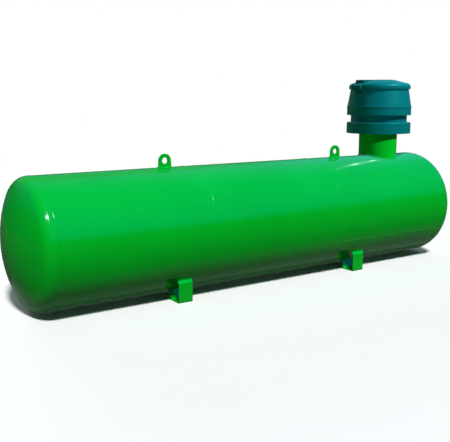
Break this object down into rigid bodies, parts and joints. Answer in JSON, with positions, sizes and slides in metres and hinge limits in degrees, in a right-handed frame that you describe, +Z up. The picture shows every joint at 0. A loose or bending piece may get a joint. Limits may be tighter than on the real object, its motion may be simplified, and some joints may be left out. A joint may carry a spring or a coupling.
{
  "type": "horizontal pressure tank",
  "caption": "Horizontal cylindrical pressure tank with dished ends, a service neck under a hinged round cover, lifting lugs and bent-plate feet.",
  "frame": {"origin": "on the floor under the middle of the tank's length and width", "axes": "+X along the tank towards the end with the service neck, +Z up, so -Y is the side with the long weld that shows"},
  "size_m": [5.415, 1.255, 2.172],
  "materials": {
    "tank_paint": "glossy green paint on welded steel plate",
    "cover_shell": "satin teal glass-fibre plastic",
    "bright_steel": "plated steel",
    "valve_brass": "machined brass",
    "wheel_plastic": "moulded handwheel"
  },
  "bodies": {
    "tank": {"left_head": "tank_paint", "right_head": "tank_paint", "left_shell_course": "tank_paint", "middle_shell_course": "tank_paint", "right_shell_course": "tank_paint", "left_head_weld": "tank_paint", "left_course_weld": "tank_paint", "right_course_weld": "tank_paint", "right_head_weld": "tank_paint", "left_seam_weld": "tank_paint", "middle_seam_weld": "tank_paint", "right_seam_weld": "tank_paint", "neck_pipe": "tank_paint", "neck_weld": "tank_paint", "neck_flange": "tank_paint", "closing_plate": "tank_paint", "cover_floor": "cover_shell", "cover_collar": "cover_shell", "cover_sleeve": "cover_shell", "cover_body": "cover_shell", "hinge_bracket": "cover_shell", "body_lock_ear": "cover_shell", "left_lifting_lug": "tank_paint", "left_lug_weld": "tank_paint", "right_lifting_lug": "tank_paint", "right_lug_weld": "tank_paint", "front_left_foot": "tank_paint", "front_right_foot": "tank_paint", "rear_left_foot": "tank_paint", "rear_right_foot": "tank_paint", "foot_welds": "tank_paint", "filling_valve": "valve_brass", "relief_valve": "valve_brass", "gas_valve": "valve_brass", "gas_valve_wheel": "wheel_plastic", "liquid_valve": "valve_brass", "liquid_valve_wheel": "wheel_plastic", "level_gauge": "bright_steel"},
    "lid": {"cover_lid": "cover_shell", "hinge_block": "cover_shell", "hinge_pin": "bright_steel", "lid_lock_ear": "cover_shell"}
  },
  "joints": [
    {"name": "lid_hinge", "type": "hinge", "parent": "tank", "child": "lid", "pos_m": [1.523, 0, 2.068], "axis": [0, -1, 0], "range_deg": [0, 105]}
  ]
}
